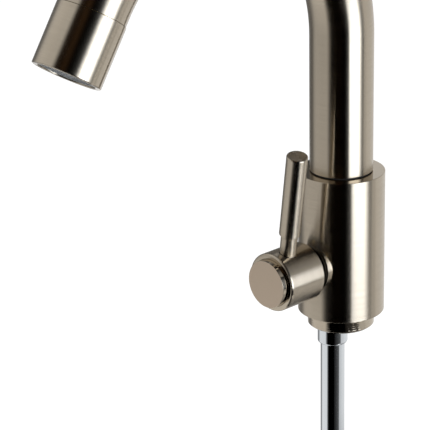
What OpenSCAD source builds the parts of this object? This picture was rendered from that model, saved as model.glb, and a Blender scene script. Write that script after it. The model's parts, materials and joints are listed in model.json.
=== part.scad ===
/* [Body] */
// Outside diameter of the upright body
body_d = 44.8; // [42:0.1:56]
// Height of the body above the deck
body_h = 75.8; // [72:0.1:110]
// Bevel round the body's lower edge
body_edge = 0.3; // [0.2:0.1:1.5]
// Diameter of the valve boss
boss_d = 24; // [23.6:0.1:30]
// How far the valve boss stands proud of the body
boss_proud = 0.5; // [0.3:0.1:6]
// Wall left behind the inlet chamber
back_wall = 5; // [3:0.1:7]

/* [Deck fixing] */
// Diameter of the threaded spigot that drops into the tap hole
spigot_d = 34.8; // [30:0.1:38]
// Depth of the spigot below the deck face
spigot_h = 8.4; // [6:0.1:16]
// Height of the plain land above the thread
spigot_land = 2.4; // [1:0.1:4]
// Thread pitch on the spigot
spigot_pitch = 1.2; // [0.8:0.1:2]
// Diameter of the spigot's neck inside the body
neck_d = 30; // [28.6:0.1:32]
// Height of the neck inside the body
neck_h = 6; // [5:0.1:8]
// Tapped hole for the fixing stud, drilled size
stud_d = 6.8; // [5:0.1:8.5]
// Offset of the stud hole behind the body's axis
stud_back = 8.6; // [8:0.1:10]
// Section width of the deck seal
seal_w = 2.2; // [1.5:0.1:2.5]
// Section height of the deck seal
seal_h = 1.8; // [1:0.1:2.5]

/* [Tail] */
// Outside diameter of the inlet tail
tail_d = 12.7; // [10:0.1:13.2]
// Wall of the inlet tail
tail_wall = 0.8; // [0.6:0.1:1.2]
// Reach of the tail below the deck
tail_l = 180; // [120:1:350]
// Offset of the tail in front of the body's axis
tail_front = 6.2; // [5.4:0.1:7.6]
// Diameter of the tail's gland nut
gland_d = 15.8; // [15:0.1:17]
// Height of the gland nut below the spigot
gland_h = 9.1; // [6:0.1:14]

/* [Spout] */
// Outside diameter of the spout tube
tube_d = 32.4; // [30:0.1:36]
// Wall of the spout tube
tube_wall = 1.5; // [1:0.1:2.5]
// Straight height of the riser above the body
riser_h = 70.2; // [30:0.1:160]
// Bend radius at the tube's centreline
bend_r = 86.2; // [60:0.1:110]
// Turn of the bend
bend_deg = 147.3; // [120:0.1:170]
// Straight run between the bend and the tip sleeve
run_l = 4.3; // [2:0.1:20]
// Length of the tip sleeve
tip_l = 29.8; // [28:0.1:50]
// Outside diameter of the tip sleeve
tip_d = 33.1; // [32.4:0.1:36]
// Inward lip at the tip's mouth
tip_lip = 2.7; // [2:0.1:4]
// Thickness of that lip
tip_lip_t = 2.5; // [1.5:0.1:4]
// Depth of the stream former below the tip's rim
former_deep = 0.7; // [0.5:0.1:3]
// Gap under the riser's lower edge
riser_gap = 0.5; // [0.3:0.1:1]

/* [Swivel] */
// Diameter of the spout's foot in its socket
foot_d = 22; // [20:0.1:24]
// Wall of the foot
foot_wall = 3.6; // [3:0.1:4.5]
// Section of the foot's sealing rings
foot_ring = 2.2; // [1.6:0.1:2.6]
// Turn that the spout can make to each side
swivel_deg = 75; // [30:1:120]
// Diameter of the stop screw in the back of the body
stop_d = 5; // [4:0.1:6]
// Diameter of the stop screw's tip
stop_tip_d = 3; // [2.4:0.1:3.4]
// Depth of the foot's slot for that tip
slot_deep = 1.6; // [1.2:0.1:2]
// Distance of the stop screw below the body's top
stop_down = 10; // [8:0.1:12]
// Thickness of the thrust ring under the riser
thrust_t = 1.6; // [1.2:0.1:2.5]

/* [Valve] */
// Height of the valve's axis above the deck
valve_z = 28.5; // [28:0.1:34]
// Thread diameter of the headwork
thread_d = 20.96; // [19:0.02:22]
// Length of that thread
thread_l = 11; // [9:0.1:13]
// Barrel diameter of the headwork
barrel_d = 18; // [17:0.1:18.4]
// Length of the headwork below its flange
headwork_l = 30.8; // [29:0.1:32]
// Width across the flats of the headwork's hexagon
hex_af = 17; // [17:0.1:19.5]
// Height of that hexagon
hex_h = 4.1; // [3:0.1:5]
// Diameter of the ceramic discs
disc_d = 15.8; // [14.5:0.1:16]
// Thickness of each ceramic disc
disc_t = 3; // [2:0.1:3.5]
// Opening angle of each port in the discs
port_deg = 84; // [60:1:86]
// Stem diameter of the spindle
stem_d = 10; // [9:0.1:10.6]
// Diameter of the splined end of the spindle
spline_d = 8; // [7:0.1:8.6]
// Teeth on the spline
spline_teeth = 24; // [18:1:30]
// Quarter turn from shut to full flow
lever_deg = 90; // [60:1:110]

/* [Handle] */
// Outside diameter of the handle sleeve
sleeve_d = 30.2; // [28.6:0.1:34]
// Length of the handle sleeve
sleeve_l = 23.2; // [21:0.1:30]
// Wall of the handle sleeve
sleeve_wall = 2.6; // [1.8:0.1:3]
// Rounding of the handle sleeve's front edge
sleeve_edge = 1.2; // [0.3:0.1:1.7]
// Dark gap between the boss and the handle sleeve
handle_gap = 5.1; // [2:0.1:6]
// How far the end cap stands proud of the sleeve
cap_proud = 3.5; // [1:0.1:5]
// How far the end cap's side tapers in, on its radius
cap_taper = 0.2; // [0:0.05:0.5]
// Diameter of the lever rod
lever_d = 10.7; // [8:0.1:12]
// Diameter of the lever's neck
lever_neck_d = 7.8; // [6.6:0.1:8.4]
// Top of the neck, measured from the valve's axis
lever_neck_top = 24; // [20:0.1:30]
// Top of the lever, measured from the valve's axis
lever_top = 72.6; // [50:0.1:110]
// Distance of the lever behind the sleeve's front face
lever_in = 10.3; // [9:0.1:11]
// Turn of the lever from upright when shut
lever_stand = 13; // [0:1:30]
// Forward lean of the lever
lever_lean = 5.9; // [0:0.1:8]
// Thread diameter of the lever's stud
lever_stud_d = 6; // [4:0.1:6.4]

/* [Hidden] */

$fn = 96;
nickel = "#b3a592";
chrome = "#c9cdd0";
brass = "#c3a55a";
ceramic = "#f1efe8";
rubber = "#1f1f20";
nylon = "#2c2b2a";
grey = "#8f9294";
steel = "#b9bcbf";

// Radii and the small fits between neighbours
fit = 0.05;
snug = 0.1;
eps = 0.01;
body_r = body_d / 2;
boss_r = boss_d / 2;
spigot_r = spigot_d / 2;
neck_r = neck_d / 2;
tail_r = tail_d / 2;
tail_step = 0.2;
tail_neck_r = tail_r - tail_step;
gland_r = gland_d / 2;
gland_neck_r = gland_r - 0.5;
tube_r = tube_d / 2;
tube_in_r = tube_r - tube_wall;
tip_r = tip_d / 2;
mouth_r = tip_r - tip_lip;
foot_r = foot_d / 2;
foot_bore_r = foot_r - foot_wall;
thread_r = thread_d / 2;
barrel_r = barrel_d / 2;
disc_r = disc_d / 2;
stem_r = stem_d / 2;
spline_r = spline_d / 2;
sleeve_r = sleeve_d / 2;
sleeve_in_r = sleeve_r - sleeve_wall;
hex_r = hex_af / 2 / cos(30);
flange_r = hex_r + snug;
gap_ring_wall = 0.5;
gap_ring_r = flange_r + fit + gap_ring_wall;

// Places along the valve's axis, measured forward from the body's axis
ring_flange_t = 0.8;
bonnet_recess = 2;
ring_cover = 0.3;
thread_run = 1.5;
seal_wall = 2.4;
gap_ring_clear = 0.4;
gap_foot_h = 0.4;
gap_foot_seat = 0.6;
gap_foot_step = 0.2;
boss_t = body_r + boss_proud;
flange_t = boss_t + ring_flange_t;
thread_end_t = boss_t - bonnet_recess;
flange_l = 1.6;
hex_t = flange_t + flange_l;
hex_end_t = hex_t + hex_h;
barrel_end_t = flange_t - headwork_l;
seal_stand = 1;
seat_t = barrel_end_t - seal_stand;
chamber_t = back_wall - body_r;
seal_l = 3;
disc_a_t = seat_t + seal_l;
disc_b_t = disc_a_t + disc_t;
spindle_t = disc_b_t + disc_t;
key_deep = 1.4;
key_w = 3;
spindle_flange_l = 3;
stem_ring = 1.6;
stem_ring_up = 6;
stem_groove_r = stem_r - 0.75 * stem_ring;
stem_t = spindle_t + spindle_flange_l;
sleeve_t = boss_t + handle_gap;
sleeve_end_t = sleeve_t + sleeve_l;
stop_lug_h = 1.6;
stop_washer_h = 1.5;
clip_t = hex_end_t + stop_washer_h + snug;
clip_h = 0.8;
hub_t = clip_t + clip_h + 1.5;
hub_end_t = sleeve_end_t - 3;
hub_step = 0.5;
lever_t = sleeve_end_t - lever_in;
hub_r = sleeve_in_r - fit;
back_bore_r = sleeve_in_r - hub_step;
spline_end_t = hub_end_t - 3.6;
clip_in_r = spline_r - 1;
cap_end_t = sleeve_end_t + cap_proud;
cap_r = sleeve_in_r - fit;

// Heights of the water ways and the swivel
cross_r = 3.2;
cross_wall = 1.7;
cross_z = valve_z - thread_r - cross_wall - cross_r;
pipe_drop = 2.4;
pipe_top_z = cross_z - pipe_drop;
gland_z = -spigot_h - gland_h;
gland_room = 1.8;
tail_bevel = 0.4;
pipe_bore_r = tail_neck_r - tail_wall;
rise_wall = 0.4;
rise_y = -chamber_t - cross_r - rise_wall;
socket_wall = 5;
socket_z = valve_z + thread_r + socket_wall;
foot_clear = 1.6;
foot_z = socket_z + foot_clear;
riser_z = body_h + riser_gap;
bend_z = riser_z + riser_h;
thrust_r = tube_r - 0.6;
tube_edge = 0.4;
thrust_top_z = riser_z - fit;
foot_plug_h = 14;
foot_ring_up = 3.2;
ring_step = 5;
foot_rings_z = [foot_z + foot_ring_up, foot_z + foot_ring_up + ring_step];
stop_z = body_h - stop_down;
slot_half_w = stop_tip_d / 2 + 0.1;
slot_r = foot_r - slot_deep;

// Places along the tip, measured from the end of the bend
tip_s = run_l;
tip_seam = 0.25;
run_lap = 0.5;
tip_end_s = run_l + tip_l;
lip_s = tip_end_s - tip_lip_t;
former_end_s = tip_end_s - former_deep;
sleeve_thin = 1.75;
adaptor_r = tip_r - sleeve_thin;
adaptor_bore_r = tube_in_r - 2;
adaptor_l = 15;
adaptor_end_s = tip_s + adaptor_l;
washer_l = 1.6;
washer_end_s = adaptor_end_s + washer_l;
screen_l = 0.8;
housing_r = adaptor_r - 0.1;
nose_r = mouth_r - 0.1;
nose_wall = 1;
former_r = nose_r - nose_wall;
former_ledge = 0.4;
former_h = 4;
former_s = lip_s - former_h;
rim_step = 0.3;

// A ring or disc standing on the plane z = from
module ring(outer_r, inner_r, from, to) {
    translate([0, 0, from]) difference() {
        cylinder(r = outer_r, h = to - from);
        translate([0, 0, -eps]) cylinder(r = inner_r, h = to - from + 2 * eps);
    }
}

// A solid of revolution from radius and height pairs
module turned(points) {
    rotate_extrude() polygon(points);
}

// A sealing ring of round section, flattened by its groove
module sealing_ring(inner_r, section, at) {
    translate([0, 0, at]) rotate_extrude() intersection() {
        translate([inner_r + section / 2, 0]) circle(d = section * 1.12, $fn = 48);
        translate([inner_r, -section]) square([section, 2 * section]);
    }
}

// A pie slice on the plane, from one angle to another
module slice(r, from, to, h) {
    steps = 8;
    function at(i) = from + (to - from) * i / steps;
    linear_extrude(h) polygon(concat([[0, 0]], [for (i = [0:steps]) 2 * r * [cos(at(i)), sin(at(i))]]));
}

// Stand on the valve's axis, z forward out of the body
module on_valve() {
    translate([0, 0, valve_z]) rotate([90, 0, 0]) children();
}

// Stand on the lever's axis, z up the lever
module on_lever() {
    translate([0, -lever_t, valve_z]) rotate([lever_lean, lever_stand, 0]) children();
}

// Stand at the end of the bend, z the way the water leaves
module on_outlet() {
    translate([0, -bend_r, bend_z]) rotate([bend_deg, 0, 0]) translate([0, bend_r, 0]) children();
}

// Lay a child made round the z axis along the bend
module along_bend() {
    translate([0, -bend_r, bend_z]) rotate([90, 0, 90])
        rotate_extrude(angle = bend_deg) translate([bend_r, 0]) children();
}

// Upright brass body with its boss, socket and water ways
module body_shell() {
    color(nickel) difference() {
        union() {
            turned([
                [0, 0], [body_r - body_edge, 0], [body_r, body_edge],
                [body_r, body_h - 0.3], [body_r - 0.3, body_h], [0, body_h],
            ]);
            on_valve() turned([
                [0, 0], [boss_r, 0], [boss_r, boss_t - 0.3], [boss_r - 0.3, boss_t], [0, boss_t],
            ]);
        }
        // Socket of the spout's foot and the seat of its thrust ring
        translate([0, 0, socket_z]) cylinder(r = foot_r + fit, h = body_h);
        translate([0, 0, thrust_top_z - thrust_t]) cylinder(r = thrust_r + fit, h = body_h);
        // Water way from the headwork up to the socket
        translate([0, -port_centre(), valve_z]) cylinder(r = 4.5, h = socket_z - valve_z + 1);
        // Tapped bore of the headwork, its seat and the inlet chamber
        on_valve() {
            open_bore(thread_r, disc_b_t - thread_run);
            open_bore(barrel_r + fit, seat_t);
            open_bore(disc_r - seal_wall, chamber_t);
            open_bore(barrel_r + bonnet_ring() + snug, boss_t - bonnet_recess);
        }
        // Water way from the tail, across and up behind the seat
        translate([0, rise_y, cross_z]) cylinder(r = cross_r, h = valve_z - cross_z);
        translate([0, rise_y, cross_z]) sphere(r = cross_r);
        translate([0, -tail_front, cross_z]) rotate([-90, 0, 0])
            cylinder(r = cross_r, h = rise_y + tail_front);
        translate([0, -tail_front, -1]) cylinder(r = tail_neck_r + fit, h = pipe_top_z + 1 + snug);
        translate([0, -tail_front, 0]) cylinder(r = pipe_bore_r, h = cross_z);
        // Recess of the spigot's neck, seal groove and stop screw
        translate([0, 0, -1]) cylinder(r = neck_r + fit, h = neck_h + 1 + snug);
        ring(seal_mid_r() + seal_w / 2, seal_mid_r() - seal_w / 2, -1, seal_h);
        translate([0, 0, stop_z]) rotate([-90, 0, 0]) cylinder(d = stop_d, h = body_r + 1);
    }
}

// A bore along the valve's axis, from a depth out through the boss
module open_bore(r, from) {
    translate([0, 0, from]) cylinder(r = r, h = boss_t - from + 1);
}
function port_centre() = (disc_b_t + stem_t) / 2 + thread_run;
function bonnet_ring() = thread_r - barrel_r + ring_cover;
function seal_mid_r() = (spigot_r + body_r - body_edge) / 2;

// Threaded spigot that centres the body in its tap hole
module base_spigot() {
    turns = floor((spigot_h - spigot_land - 1.2) / spigot_pitch);
    depth = spigot_pitch * 0.45;
    start = -spigot_land;
    color(nickel) difference() {
        turned(concat(
            [[0, neck_h], [0, -spigot_h], [spigot_r - 1, -spigot_h], [spigot_r - depth, -spigot_h + 0.8]],
            [for (i = [turns - 1:-1:0]) each [
                [spigot_r - depth, start - (i + 1) * spigot_pitch + 0.1],
                [spigot_r, start - (i + 0.55) * spigot_pitch],
                [spigot_r, start - (i + 0.45) * spigot_pitch],
                [spigot_r - depth, start - i * spigot_pitch - 0.1],
            ]],
            [[spigot_r, start], [spigot_r, 0], [neck_r, 0], [neck_r, neck_h]]
        ));
        translate([0, -tail_front, -spigot_h - 1]) cylinder(r = gland_neck_r, h = spigot_h + neck_h + 2);
        translate([0, stud_back, -spigot_h - 1]) cylinder(d = stud_d, h = spigot_h + neck_h);
    }
}

// Rubber seal between body and deck, as squeezed flush
module deck_seal() {
    color(rubber) ring(seal_mid_r() + seal_w / 2, seal_mid_r() - seal_w / 2, 0, seal_h);
}

// Rigid inlet tail, open at both ends, thinner above the gland nut
module tail_pipe() {
    color(chrome) translate([0, -tail_front, 0]) turned([
        [pipe_bore_r, -tail_l], [tail_r - tail_bevel, -tail_l], [tail_r, tail_bevel - tail_l],
        [tail_r, gland_z], [tail_neck_r, gland_z], [tail_neck_r, pipe_top_z], [pipe_bore_r, pipe_top_z],
    ]);
}

// Gland nut that squeezes the tail's sealing ring
module tail_gland_nut() {
    top = neck_h - gland_room;
    color(chrome) translate([0, -tail_front, 0]) turned([
        [tail_neck_r + fit, gland_z], [gland_r - 1.2, gland_z], [gland_r - 0.35, gland_z + 0.4],
        [gland_r, gland_z + 1.3], [gland_r, -spigot_h], [gland_neck_r, -spigot_h],
        [gland_neck_r, top], [tail_neck_r + fit, top],
    ]);
}

// Rubber ring round the tail above its gland nut
module tail_sealing_ring() {
    section = gland_neck_r - tail_neck_r - snug;
    color(rubber) translate([0, -tail_front, 0])
        sealing_ring(tail_neck_r, section, neck_h - gland_room / 2);
}

// Grub screw whose tip runs in the foot's slot and stops the swivel
module stop_screw() {
    head = body_r - 1;
    tip = slot_r + 0.3;
    color(steel) translate([0, 0, stop_z]) rotate([-90, 0, 0]) difference() {
        turned([
            [0, tip], [stop_tip_d / 2, tip], [stop_tip_d / 2, foot_r + 0.5],
            [stop_d / 2, foot_r + 1.5], [stop_d / 2, head], [0, head],
        ]);
        translate([0, 0, head - 2.5]) cylinder(d = stop_d / 2, h = 3, $fn = 6);
    }
}

// Nylon ring that carries the spout's weight
module thrust_ring() {
    color(nylon) ring(thrust_r, foot_r + fit, thrust_top_z - thrust_t, thrust_top_z);
}

// Brass bonnet of the ceramic disc headwork
module headwork_bonnet() {
    lug_gap = lever_deg + stop_tab() + 2;
    color(brass) on_valve() difference() {
        union() {
            turned([
                [0, barrel_end_t], [barrel_r, barrel_end_t], [barrel_r, thread_end_t - thread_l],
                [thread_r, thread_end_t - thread_l + 1], [thread_r, thread_end_t], [barrel_r, thread_end_t],
                [barrel_r, flange_t], [flange_r, flange_t], [flange_r, hex_t], [0, hex_t],
            ]);
            translate([0, 0, hex_t]) cylinder(r = hex_r, h = hex_h, $fn = 6);
            translate([0, 0, hex_end_t]) cylinder(r = barrel_r - 1, h = stop_lug_h);
        }
        // Disc pocket, stem bore and the notch that the stop tab travels in
        translate([0, 0, barrel_end_t - 1]) cylinder(r = disc_r + fit, h = stem_t + fit - barrel_end_t + 1);
        translate([0, 0, stem_t - 1]) cylinder(r = stem_r + fit, h = hex_end_t);
        translate([0, 0, hex_end_t]) cylinder(r = spline_r + 1.7, h = stop_lug_h + 1);
        translate([0, 0, hex_end_t]) slice(barrel_r, stop_mid() - lug_gap / 2, stop_mid() + lug_gap / 2, 3);
        // Two side windows that let the water out
        for (side = [0, 180]) rotate([0, 0, side]) translate([0, -window_w() / 2, disc_b_t + 0.3])
            cube([barrel_r + 1, window_w(), stem_t - disc_b_t - 0.6]);
    }
}
function stop_tab() = 30;
function stop_mid() = 90 - lever_stand + lever_deg / 2;
function window_w() = disc_r * 1.2;

// Rubber ring under the headwork's flange
module bonnet_sealing_ring() {
    color(rubber) on_valve()
        ring(barrel_r + bonnet_ring(), barrel_r + fit, thread_end_t + snug, boss_t - snug);
}

// Plated collar round the bonnet's flange, seen in the gap behind the handle
module bonnet_gap_ring() {
    rim_r = max(gap_ring_r + gap_foot_step, barrel_r + bonnet_ring() + snug + gap_foot_seat);
    color(nickel) on_valve() turned([
        [barrel_r + snug, boss_t], [rim_r, boss_t], [rim_r, boss_t + gap_foot_h],
        [gap_ring_r, boss_t + gap_foot_h], [gap_ring_r, sleeve_t - gap_ring_clear],
        [flange_r + fit, sleeve_t - gap_ring_clear], [flange_r + fit, flange_t],
        [barrel_r + snug, flange_t],
    ]);
}

// Rubber lip that presses the fixed disc against its mate
module seat_seal() {
    color(rubber) on_valve() ring(disc_r, disc_r - seal_wall, seat_t, disc_a_t);
}

// Fixed ceramic disc with two sector ports
module fixed_ceramic_disc() {
    color(ceramic) on_valve() translate([0, 0, disc_a_t]) difference() {
        cylinder(r = disc_r, h = disc_t);
        for (side = [0, 180]) translate([0, 0, -1]) port(side, disc_t + 2);
    }
}

// Sector port between a hub and a rim
module port(at, h) {
    intersection() {
        slice(disc_r, at - port_deg / 2, at + port_deg / 2, h);
        difference() {
            cylinder(r = disc_r - 1.6, h = h);
            translate([0, 0, -eps]) cylinder(r = 2, h = h + 2 * eps);
        }
    }
}

// Riser, bend and short run in one drawn tube
module spout_tube() {
    color(nickel) difference() {
        union() {
            turned([
                [0, riser_z], [tube_r - tube_edge, riser_z], [tube_r, riser_z + tube_edge],
                [tube_r, bend_z], [0, bend_z],
            ]);
            along_bend() circle(r = tube_r);
            // The run starts inside the bend and is a hair thinner, so that the two fuse
            on_outlet() translate([0, 0, -run_lap])
                cylinder(r = tube_r - fit, h = run_l - tip_seam + run_lap);
        }
        translate([0, 0, riser_z - 1]) cylinder(r = tube_in_r, h = riser_h + 1);
        along_bend() circle(r = tube_in_r);
        on_outlet() translate([0, 0, -run_lap]) cylinder(r = tube_in_r + fit, h = run_l + run_lap + 1);
    }
}

// Brass foot that turns in the body's socket
module spout_foot() {
    groove_r = foot_r - foot_ring * 0.8;
    color(brass) difference() {
        turned(concat(
            [[foot_bore_r, foot_z], [foot_r - 0.6, foot_z], [foot_r - fit, foot_z + 0.6]],
            [for (z = foot_rings_z) each [
                [foot_r - fit, z - foot_ring / 2], [groove_r, z - foot_ring / 2],
                [groove_r, z + foot_ring / 2], [foot_r - fit, z + foot_ring / 2],
            ]],
            [
                [foot_r - fit, riser_z], [tube_in_r - fit, riser_z],
                [tube_in_r - fit, riser_z + foot_plug_h], [foot_bore_r, riser_z + foot_plug_h],
            ]
        ));
        translate([0, 0, stop_z - slot_half_w]) intersection() {
            ring(foot_r + 1, slot_r, 0, 2 * slot_half_w);
            slice(foot_r, 90 - slot_reach(), 90 + slot_reach(), 2 * slot_half_w);
        }
    }
}
function slot_reach() = swivel_deg + asin(slot_half_w / slot_r) + 0.6;

// Two rubber rings in the foot's grooves
module spout_sealing_rings() {
    color(rubber) for (z = foot_rings_z) {
        ring(foot_r - fit, foot_r - foot_ring * 0.8, z - foot_ring / 2 + snug, z + foot_ring / 2 - snug);
    }
}

// Threaded brass end that carries the tip sleeve
module tip_adaptor() {
    color(brass) on_outlet() turned([
        [adaptor_bore_r, fit], [tube_in_r - fit, fit], [tube_in_r - fit, tip_s + 1],
        [adaptor_r - 0.8, tip_s + 1], [adaptor_r, tip_s + 1.8],
        [adaptor_r, adaptor_end_s], [adaptor_bore_r, adaptor_end_s],
    ]);
}

// Outer sleeve that screws on and holds the stream former
module tip_sleeve() {
    color(nickel) on_outlet() turned([
        [adaptor_r, tip_s + 1.6], [tube_in_r, tip_s + 0.8], [tube_in_r, tip_s], [tip_r - 0.1, tip_s],
        [tip_r, tip_s + 0.1], [tip_r, tip_end_s - 0.5], [tip_r - 0.5, tip_end_s],
        [mouth_r + 0.3, tip_end_s], [mouth_r, tip_end_s - 0.3], [mouth_r, lip_s], [adaptor_r, lip_s],
    ]);
}

// Rubber washer between the adaptor and the housing
module tip_washer() {
    color(rubber) on_outlet() ring(housing_r, adaptor_bore_r + 0.4, adaptor_end_s, washer_end_s);
}

// Perforated steel screen that breaks up the flow
module stream_screen() {
    pitch = 2.6;
    rows = 4;
    color(steel) on_outlet() translate([0, 0, washer_end_s]) difference() {
        cylinder(r = housing_r, h = screen_l);
        for (i = [-rows:rows], j = [-rows:rows]) if (norm([i, j]) * pitch < housing_r - 3)
            translate([i * pitch, j * pitch, -1]) cylinder(d = 1.5, h = screen_l + 2, $fn = 16);
    }
}

// Grey cup that seats on the sleeve's lip
module stream_housing() {
    top = washer_end_s + screen_l;
    color(grey) on_outlet() turned([
        [former_r, former_end_s], [nose_r, former_end_s], [nose_r, lip_s], [housing_r, lip_s],
        [housing_r, top], [former_r - former_ledge, top], [former_r - former_ledge, former_s],
        [former_r, former_s],
    ]);
}

// Honeycomb that straightens the stream
module stream_former() {
    pitch = 2.7;
    wall = 0.5;
    rows = 4;
    former_l = former_end_s - former_s - rim_step;
    color(grey) on_outlet() translate([0, 0, former_s]) difference() {
        cylinder(r = former_r - fit, h = former_l);
        for (i = [-rows:rows], j = [-rows:rows]) {
            x = (i + j / 2) * pitch;
            y = j * pitch * sin(60);
            if (norm([x, y]) < former_r - pitch / 2 - 0.4) translate([x, y, -1]) rotate([0, 0, 30])
                cylinder(r = (pitch - wall) / 2 / cos(30), h = former_l + 2, $fn = 6);
        }
    }
}

// Polished sleeve of the handle
module handle_sleeve() {
    color(nickel) difference() {
        on_valve() turned([
            [back_bore_r, sleeve_t], [sleeve_r - 0.3, sleeve_t], [sleeve_r, sleeve_t + 0.3],
            each rounded_edge(sleeve_r, sleeve_end_t, sleeve_edge), [sleeve_in_r, sleeve_end_t],
            [sleeve_in_r, hub_t], [back_bore_r, hub_t],
        ]);
        on_lever() cylinder(d = lever_neck_d + 4 * snug, h = lever_neck_top);
    }
}

// Outline of an outer edge rounded from the side to the end face
function rounded_edge(r, t, edge) = [
    for (turn = [0:15:90]) [r - edge + edge * cos(turn), t - edge + edge * sin(turn)]
];

// Bare end cap, pushed into the sleeve
module index_cap() {
    groove_t = (hub_end_t + sleeve_end_t) / 2;
    color(nickel) on_valve() difference() {
        turned([
            [0, hub_end_t + 0.2], [cap_r, hub_end_t + 0.2],
            [cap_r, groove_t - 0.6], [cap_r - 0.9, groove_t - 0.6],
            [cap_r - 0.9, groove_t + 0.6], [cap_r, groove_t + 0.6], [cap_r, sleeve_end_t],
            [cap_r - cap_taper, cap_end_t - 0.25], [cap_r - cap_taper - 0.25, cap_end_t], [0, cap_end_t],
        ]);
        translate([0, 0, hub_end_t - 1]) cylinder(r = screw_head_r() + 1, h = screw_head_h() + 1.4);
    }
}
function screw_head_r() = 3.8;
function screw_head_h() = 2.4;

// Rubber ring that grips the end cap
module index_cap_ring() {
    groove_t = (hub_end_t + sleeve_end_t) / 2;
    color(rubber) on_valve() ring(cap_r, cap_r - 0.9, groove_t - 0.5, groove_t + 0.5);
}

// Lever rod with its neck and threaded stud
module lever_rod() {
    seat = hub_r - 0.8;
    shoulder = (lever_d - lever_neck_d) / 2;
    color(nickel) on_lever() turned([
        [0, stud_s()], [lever_stud_d / 2, stud_s()], [lever_stud_d / 2, seat],
        [lever_neck_d / 2, seat], [lever_neck_d / 2, lever_neck_top],
        [lever_d / 2, lever_neck_top + shoulder], [lever_d / 2, lever_top - 0.5],
        [lever_d / 2 - 0.5, lever_top], [0, lever_top],
    ]);
}
function stud_s() = spline_r + 1.9;

// Brass hub that joins the sleeve, the lever and the spindle
module handle_hub() {
    seat = hub_r - 0.8;
    color(brass) difference() {
        on_valve() difference() {
            turned([[0, hub_t], [hub_r, hub_t], [hub_r, hub_end_t], [0, hub_end_t]]);
            translate([0, 0, hub_t - 1]) spline(spline_r + 0.05, spline_end_t - hub_t + 1.2);
            cylinder(d = screw_d() + 0.4, h = hub_end_t + 1);
            translate([0, 0, hub_end_t - screw_seat()]) cylinder(r = screw_head_r() + 0.3, h = 4);
        }
        on_lever() {
            translate([0, 0, stud_s() - 0.2]) cylinder(d = lever_stud_d, h = hub_r);
            translate([0, 0, seat]) cylinder(d = lever_neck_d + 2 * snug, h = hub_r);
        }
    }
}
function screw_d() = 4;
function screw_seat() = 1;

// A toothed bar whose teeth repeat round it
module spline(r, h) {
    half = 180 / spline_teeth;
    linear_extrude(h) polygon([for (i = [0:spline_teeth - 1]) each [
        r * [cos(2 * half * i), sin(2 * half * i)],
        (r - 0.45) * [cos(2 * half * i + half), sin(2 * half * i + half)],
    ]]);
}

// Screw that holds the hub on the spindle
module handle_screw() {
    under = hub_end_t - screw_seat();
    color(steel) on_valve() difference() {
        turned([
            [0, spline_end_t - 7], [screw_d() / 2, spline_end_t - 7], [screw_d() / 2, under],
            [screw_head_r(), under], [screw_head_r(), under + screw_head_h() - 0.5],
            [screw_head_r() - 0.5, under + screw_head_h()], [0, under + screw_head_h()],
        ]);
        translate([-0.5, -5, under + screw_head_h() - 1]) cube([1, 10, 2]);
        translate([-5, -0.5, under + screw_head_h() - 1]) cube([10, 1, 2]);
    }
}

// Brass spindle that turns the moving disc
module spindle() {
    groove_half = stem_ring / 2 + snug;
    color(brass) on_valve() difference() {
        union() {
            translate([0, 0, spindle_t]) bow_tie(disc_r - fit, spindle_flange_l);
            turned(concat(
                [[0, spindle_t], [stem_r - 1, spindle_t], [stem_r - 1, stem_t], [stem_r, stem_t]],
                [for (t = spindle_rings_t()) each [
                    [stem_r, t - groove_half], [stem_groove_r, t - groove_half],
                    [stem_groove_r, t + groove_half], [stem_r, t + groove_half],
                ]],
                [[stem_r, hex_end_t], [0, hex_end_t]]
            ));
            translate([0, 0, hex_end_t - 1]) spline(spline_r, spline_end_t - hex_end_t + 1);
            translate([-stem_r + 1, -key_w / 2, spindle_t - key_deep])
                cube([2 * stem_r - 2, key_w, key_deep + 1]);
        }
        translate([0, 0, clip_t - fit]) difference() {
            cylinder(r = stem_r, h = clip_h + 2 * fit);
            translate([0, 0, -1]) cylinder(r = clip_in_r, h = clip_h + 3);
        }
        translate([0, 0, spline_end_t - 7.5]) cylinder(d = screw_d(), h = 9);
    }
}
function spindle_rings_t() = [stem_t + stem_ring_up, stem_t + stem_ring_up + ring_step];

// A round disc with its two side ports cut away
module bow_tie(r, h) {
    difference() {
        cylinder(r = r, h = h);
        for (side = [0, 180]) translate([0, 0, -1]) difference() {
            slice(r, 90 + side - port_deg / 2, 90 + side + port_deg / 2, h + 2);
            cylinder(r = stem_r - 1, h = h + 2);
        }
    }
}

// Two rubber rings on the spindle's stem
module spindle_sealing_rings() {
    color(rubber) on_valve() for (t = spindle_rings_t())
        ring(stem_r, stem_groove_r, t - stem_ring / 2, t + stem_ring / 2);
}

// Steel washer whose tab meets the bonnet's stops
module spindle_stop_washer() {
    thick = stop_washer_h - 0.1;
    color(steel) on_valve() translate([0, 0, hex_end_t + 0.1]) difference() {
        union() {
            cylinder(r = spline_r + 1.4, h = thick);
            rotate([0, 0, 90 - lever_stand]) intersection() {
                cylinder(r = barrel_r - 1.2, h = thick);
                slice(barrel_r, -stop_tab() / 2, stop_tab() / 2, thick);
            }
        }
        translate([0, 0, -1]) spline(spline_r + fit, thick + 2);
    }
}

// Spring clip that keeps the spindle in the bonnet
module spindle_clip() {
    mouth = clip_in_r * 1.6;
    color(steel) on_valve() translate([0, 0, clip_t]) difference() {
        cylinder(r = spline_r + 1.4, h = clip_h);
        translate([0, 0, -1]) cylinder(r = clip_in_r, h = clip_h + 2);
        translate([-mouth / 2, 0, -1]) cube([mouth, spline_r + 3, clip_h + 2]);
    }
}

// Moving ceramic disc, cut away to match the ports
module moving_ceramic_disc() {
    color(ceramic) on_valve() difference() {
        translate([0, 0, disc_b_t]) bow_tie(disc_r - fit, disc_t);
        translate([-stem_r + 1 - snug, -key_w / 2 - fit, spindle_t - key_deep - snug])
            cube([2 * (stem_r - 1 + snug), key_w + 2 * fit, key_deep + 1]);
    }
}

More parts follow.
